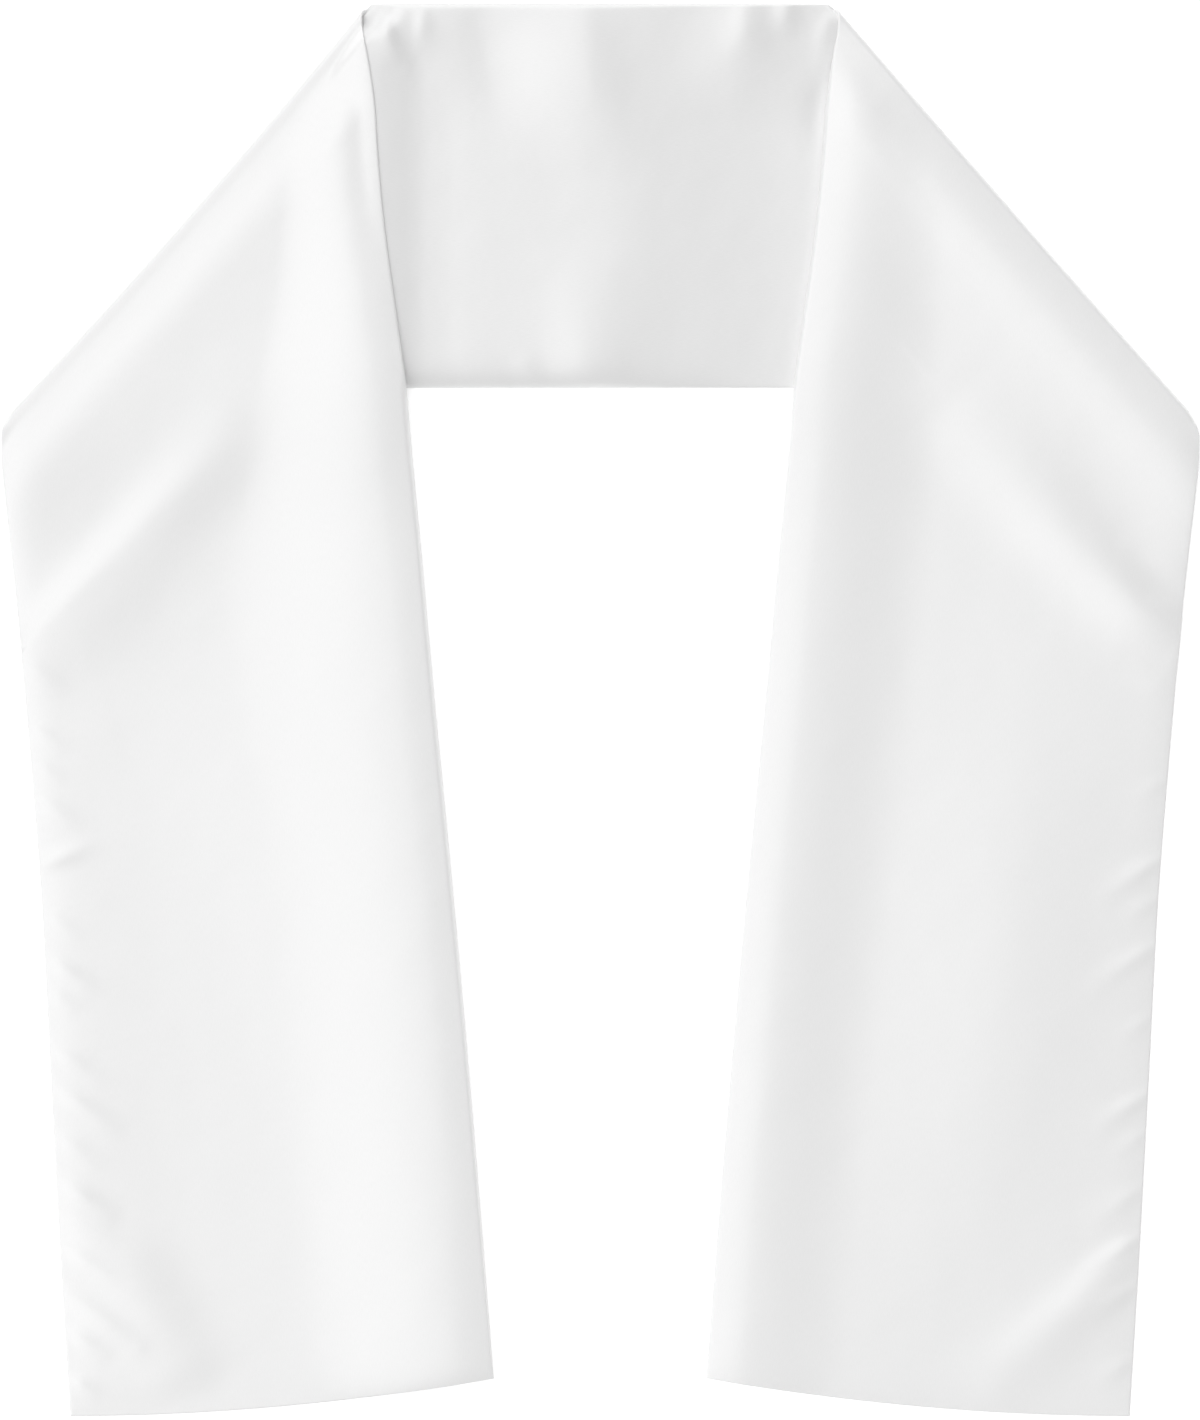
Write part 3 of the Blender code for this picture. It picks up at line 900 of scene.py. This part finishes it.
# %% Rows and columns
SAMPLES = 4000  # fine enough to add up a spacing that changes along the way


def spaced_shares(length, spacing):
    """Shares of a length, as far apart as a table of (place, spacing) says, both in millimetres."""
    at = np.linspace(0.0, length, SAMPLES)
    density = 1.0 / np.interp(at, *zip(*spacing))
    count = np.concatenate([[0.0], np.cumsum((density[1:] + density[:-1]) / 2 * np.diff(at))])
    steps = int(round(count[-1]))
    return np.interp(np.linspace(0.0, count[-1], steps + 1), count, at) / length


STRIP_WIDTH = 254.0
UPPER_SPACING = [
    # place across the strip, from the folded edge, and how far apart the columns are there
    (0, 0.18), (1.2, 0.35), (6, 1.8), (36, 3.3), (120, 4.6), (190, 3.9), (230, 2.8), (250, 1.9),
    (252.6, 0.6), (STRIP_WIDTH, 0.4),
]
LOWER_SPACING = [
    (0, 0.35), (2.0, 0.9), (8, 8.0), (30, 24.0), (210, 22.0), (246, 4.0), (252.6, 0.6),
    (STRIP_WIDTH, 0.4),
]
UPPER_COLUMNS = spaced_shares(STRIP_WIDTH, UPPER_SPACING)
LOWER_COLUMNS = spaced_shares(STRIP_WIDTH, LOWER_SPACING)
RING = [(share, False) for share in LOWER_COLUMNS[:0:-1]] + [(share, True) for share in UPPER_COLUMNS]
print(len(UPPER_COLUMNS), "columns above,", len(LOWER_COLUMNS), "below")

# %% Grid helpers
CLOTH_WALL = 0.4


def weave(rows, place):
    """A grid with a row for each share of the way along, put in place and closed at the seam."""
    mesh = bmesh.new()
    bmesh.ops.create_grid(mesh, x_segments=len(rows) - 1, y_segments=len(RING) - 1, size=0.5)
    mesh.verts.ensure_lookup_table()
    grid = np.array([vertex.co[:2] for vertex in mesh.verts]) + 0.5
    row = np.rint(grid[:, 0] * (len(rows) - 1)).astype(int)
    column = np.rint(grid[:, 1] * (len(RING) - 1)).astype(int)
    shares, uppers = (np.array(values) for values in zip(*RING))
    x, y, z, u, v = place(np.asarray(rows)[row], shares[column], uppers[column].astype(bool))
    cloth_uv = mesh.loops.layers.uv.new("cloth")
    for vertex, *point, along_u, along_v in zip(mesh.verts, x, y, z, u, v):
        vertex.co = [value * MM for value in point]
        for loop in vertex.link_loops:
            loop[cloth_uv].uv = (along_u * MM, along_v * MM)
    bmesh.ops.remove_doubles(mesh, verts=mesh.verts, dist=1e-6)
    return mesh


def finish_cloth(name, mesh, closed_at):
    """Close the ends that are sewn, point the faces outwards, and hand the mesh to an object."""
    open_edges = [edge for edge in mesh.edges if edge.is_boundary and closed_at(edge.verts[0].co)]
    if open_edges:
        bmesh.ops.holes_fill(mesh, edges=open_edges, sides=0)
    bmesh.ops.recalc_face_normals(mesh, faces=mesh.faces)
    lowest = min(mesh.faces, key=lambda face: face.calc_center_median().z)
    if lowest.normal.z > 0:
        bmesh.ops.reverse_faces(mesh, faces=mesh.faces)
    data = bpy.data.meshes.new(name)
    mesh.to_mesh(data)
    mesh.free()
    data.shade_smooth()
    piece = bpy.data.objects.new(name, data)
    bpy.context.scene.collection.objects.link(piece)
    wall = piece.modifiers.new("wall of the cloth", "SOLIDIFY")
    wall.thickness = CLOTH_WALL * MM
    wall.offset = -1.0
    return piece


# %% Weave the fronts
ROLL_ROWS = 16
FRONT_LENGTH = 836.0
FRONT_SPACING = [
    # place down the front, from the top of the roll, and how far apart the rows are there
    (0, 1.6), (40, 2.1), (790, 2.1), (828, 1.5), (834.5, 0.6), (FRONT_LENGTH, 0.4),
]
DOWN = spaced_shares(FRONT_LENGTH, FRONT_SPACING)
SEWN_END_BELOW = -0.3  # metres up the table: the only open ends down there are the hems


def weave_front(side):
    hand = 1.0 if side == "right" else -1.0
    rows = np.concatenate([np.linspace(-1.0, 0.0, ROLL_ROWS, endpoint=False), DOWN])

    def place(row, share, upper):
        rolled = np.array(roll_point(side, np.minimum(row, 0.0) + 1.0, share, upper))
        laid = np.array(front_point(side, np.maximum(row, 0.0), share, upper))
        out, up, height, u, v = np.where(row < 0, rolled, laid)
        return hand * out, up, height, u, v

    return finish_cloth(f"{side}_front_cloth", weave(rows, place), lambda point: point.y < SEWN_END_BELOW)


fronts = {side: weave_front(side) for side in ("left", "right")}
for side, piece in fronts.items():
    print(side, len(piece.data.vertices), "points,", len(piece.data.polygons), "faces")

# %% Weave the back
BACK_LENGTH = 712.0
BACK_SPACING = [
    # place along the back, from its left end, and how far apart the rows are there
    (0, 6.0), (200, 4.0), (230, 2.0), (482, 2.0), (512, 4.0), (BACK_LENGTH, 6.0),
]
ALONG_BACK = spaced_shares(BACK_LENGTH, BACK_SPACING) * 2 - 1
back = finish_cloth("back_cloth", weave(ALONG_BACK, back_point), lambda point: False)
print("back", len(back.data.vertices), "points,", len(back.data.polygons), "faces")

# %% [markdown]
# ## Satin
# Satin is white here, but never flat: its long floats lie side by side, so it has a soft sheen that runs
# along the strip, a grain too fine to count, and slight unevenness in the pressing. The finish reads the
# cloth's own UV, in metres on the flat strip, so the grain turns with the cloth over each fold. One noise,
# drawn out long and narrow, is the grain, and a coarse one is the pressing. Both bump the surface, and the
# grain also varies the white a little. On the back the floats run crosswise, where the light meets them
# the other way. That shade is painted in: the back is the same white satin, given a greyer base colour.

# %% The satin finish
GRAIN = (2600.0, 260.0, 1.0)  # floats to the metre across them, along them, and no third direction


def node(tree, kind, **inputs):
    made = tree.nodes.new(kind)
    for name, value in inputs.items():
        made.inputs[name].default_value = value
    return made


def grey_stops(ramp, stops):
    """Give a colour ramp its stops, each a (position, brightness)."""
    while len(ramp.elements) < len(stops):
        ramp.elements.new(0.5)
    for stop, (position, brightness) in zip(ramp.elements, stops):
        stop.position = position
        stop.color = (brightness, brightness, brightness, 1.0)


def white_satin(name, darkest, lightest):
    material = bpy.data.materials.new(name)
    material.use_nodes = True
    tree = material.node_tree
    shader = tree.nodes["Principled BSDF"]
    shader.inputs["Roughness"].default_value = 0.4
    shader.inputs["IOR"].default_value = 1.9
    shader.inputs["Specular IOR Level"].default_value = 1.0
    shader.inputs["Anisotropic"].default_value = 0.3
    shader.inputs["Sheen Weight"].default_value = 0.1
    shader.inputs["Sheen Roughness"].default_value = 0.4
    cloth = tree.nodes.new("ShaderNodeUVMap")
    cloth.uv_map = "cloth"
    tangent = tree.nodes.new("ShaderNodeTangent")
    tangent.direction_type = "UV_MAP"
    tangent.uv_map = "cloth"
    tree.links.new(tangent.outputs[0], shader.inputs["Tangent"])

    floats = tree.nodes.new("ShaderNodeMapping")
    floats.inputs["Scale"].default_value = GRAIN
    grain = node(tree, "ShaderNodeTexNoise", Scale=1.0, Detail=2.0, Roughness=0.6)
    pressing = node(tree, "ShaderNodeTexNoise", Scale=34.0, Detail=3.0, Roughness=0.5)
    tree.links.new(cloth.outputs[0], floats.inputs[0])
    tree.links.new(floats.outputs[0], grain.inputs["Vector"])
    tree.links.new(cloth.outputs[0], pressing.inputs["Vector"])

    pressed = node(tree, "ShaderNodeBump", Strength=0.5, Distance=0.0008)
    woven = node(tree, "ShaderNodeBump", Strength=0.12, Distance=0.00006)
    tree.links.new(pressing.outputs["Fac"], pressed.inputs["Height"])
    tree.links.new(grain.outputs["Fac"], woven.inputs["Height"])
    tree.links.new(pressed.outputs[0], woven.inputs["Normal"])
    tree.links.new(woven.outputs[0], shader.inputs["Normal"])

    tone = tree.nodes.new("ShaderNodeValToRGB")
    grey_stops(tone.color_ramp, [(0.3, darkest), (0.7, lightest)])
    tree.links.new(grain.outputs["Fac"], tone.inputs[0])
    tree.links.new(tone.outputs[0], shader.inputs["Base Color"])
    return material


satin = {
    "down the stole": white_satin("white_satin", 0.805, 0.835),
    # painted shade: the same white satin as the fronts', made greyer for how the light meets the back's
    # floats
    "across the stole": white_satin("white_satin_painted_shade", 0.755, 0.785),
}
print("satins:", [material.name for material in satin.values()])

# %% [markdown]
# ## Satin on each piece
# Every stretch is a sheet that is folded double. Its cut is a rectangle, as wide as the strip is round and
# as long as the stretch's longest side, and the slant of the shoulder folds takes its corners off. Each
# cloth piece gets its satin and hangs from the root body, and the solid that it stands for is hidden.

# %% Satin on the pieces
for piece, node_name in ((back, "back"), (fronts["left"], "left_front"), (fronts["right"], "right_front")):
    piece.data.materials.append(satin["across the stole" if piece is back else "down the stole"])
    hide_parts(node_name)
    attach(piece, "root")

# %% [markdown]
# ## The table
# The stole lies on a plain white table. The table is matt, so that it mirrors nothing, and it gives off a
# little light of its own, which keeps it white and the shadows on it pale.

# %% Table
table_mesh = bmesh.new()
bmesh.ops.create_grid(table_mesh, x_segments=1, y_segments=1, size=3.0)
table_data = bpy.data.meshes.new("table")
table_mesh.to_mesh(table_data)
table_mesh.free()
table = bpy.data.objects.new("table", table_data)
bpy.context.scene.collection.objects.link(table)
white_paint = bpy.data.materials.new("white_table")
white_paint.use_nodes = True
paint = white_paint.node_tree.nodes["Principled BSDF"]
paint.inputs["Base Color"].default_value = (1.0, 1.0, 1.0, 1.0)
paint.inputs["Roughness"].default_value = 0.9
paint.inputs["Specular IOR Level"].default_value = 0.0
paint.inputs["Emission Color"].default_value = (1.0, 1.0, 1.0, 1.0)
paint.inputs["Emission Strength"].default_value = 0.3
table_data.materials.append(white_paint)
print("the table is", round(table.dimensions.x), "m wide")

# %% [markdown]
# ## The light
# A lamp lights satin in one hard patch. Its soft gloss shows a wide softbox room much better, so the room
# itself is the light: a world whose brightness runs from wall to wall. It is brightest high up on one side,
# falls off over the zenith and is darkest high up on the other side, so slopes that face the bright side
# light up and slopes that face away go grey. A colour ramp over the direction holds it, with the stops
# listed below, and the whole room is turned a little, from the left towards the neck.

# %% Light
ROOM = [
    # from the bright side (0) over the zenith (0.5) to the dark side (1), brightness
    (0.0, 0.25),
    (0.12, 0.5),
    (0.24, 0.86),
    (0.37, 1.06),
    (0.5, 0.61),
    (0.62, 0.18),
    (0.8, 0.18),
    (1.0, 0.6),
]
BRIGHT_SIDE = 20.0  # how far, in degrees, the bright side is turned from the left towards the neck
ROOM_STRENGTH = 1.855
world = bpy.data.worlds.new("softbox_room")
world.use_nodes = True
room = world.node_tree
direction = room.nodes.new("ShaderNodeTexCoord")
turned = room.nodes.new("ShaderNodeVectorRotate")
turned.rotation_type = "Z_AXIS"
turned.inputs["Angle"].default_value = math.radians(BRIGHT_SIDE)
sideways = room.nodes.new("ShaderNodeSeparateXYZ")
across_room = room.nodes.new("ShaderNodeMapRange")
across_room.inputs["From Min"].default_value = -1.0
across_room.inputs["From Max"].default_value = 1.0
walls = room.nodes.new("ShaderNodeValToRGB")
walls.color_ramp.interpolation = "EASE"
grey_stops(walls.color_ramp, ROOM)
room.links.new(direction.outputs["Generated"], turned.inputs["Vector"])
room.links.new(turned.outputs[0], sideways.inputs[0])
room.links.new(sideways.outputs["X"], across_room.inputs["Value"])
room.links.new(across_room.outputs[0], walls.inputs[0])
room.links.new(walls.outputs[0], room.nodes["Background"].inputs["Color"])
room.nodes["Background"].inputs["Strength"].default_value = ROOM_STRENGTH
bpy.context.scene.world = world
print("brightest part of the room:", max(brightness for _, brightness in ROOM))

# %% [markdown]
# ## The camera
# The stole is seen from straight above through a long lens, so its sides do not lean. The lens is worked
# out from how high the camera stands and how much of the table it should take in. The plain view transform
# keeps white cloth white.

# %% Camera
CAMERA_HEIGHT = 3.2
FRAME_HEIGHT = 0.8804
SENSOR_HEIGHT = 24.0
camera_data = bpy.data.cameras.new("camera")
camera_data.sensor_fit = "VERTICAL"
camera_data.sensor_height = SENSOR_HEIGHT
camera_data.lens = SENSOR_HEIGHT * CAMERA_HEIGHT / FRAME_HEIGHT
camera = bpy.data.objects.new("camera", camera_data)
camera.location = (0.0, 0.0, CAMERA_HEIGHT)
bpy.context.scene.collection.objects.link(camera)
bpy.context.scene.camera = camera
bpy.context.scene.view_settings.view_transform = "Standard"
print("lens:", round(camera_data.lens), "mm")
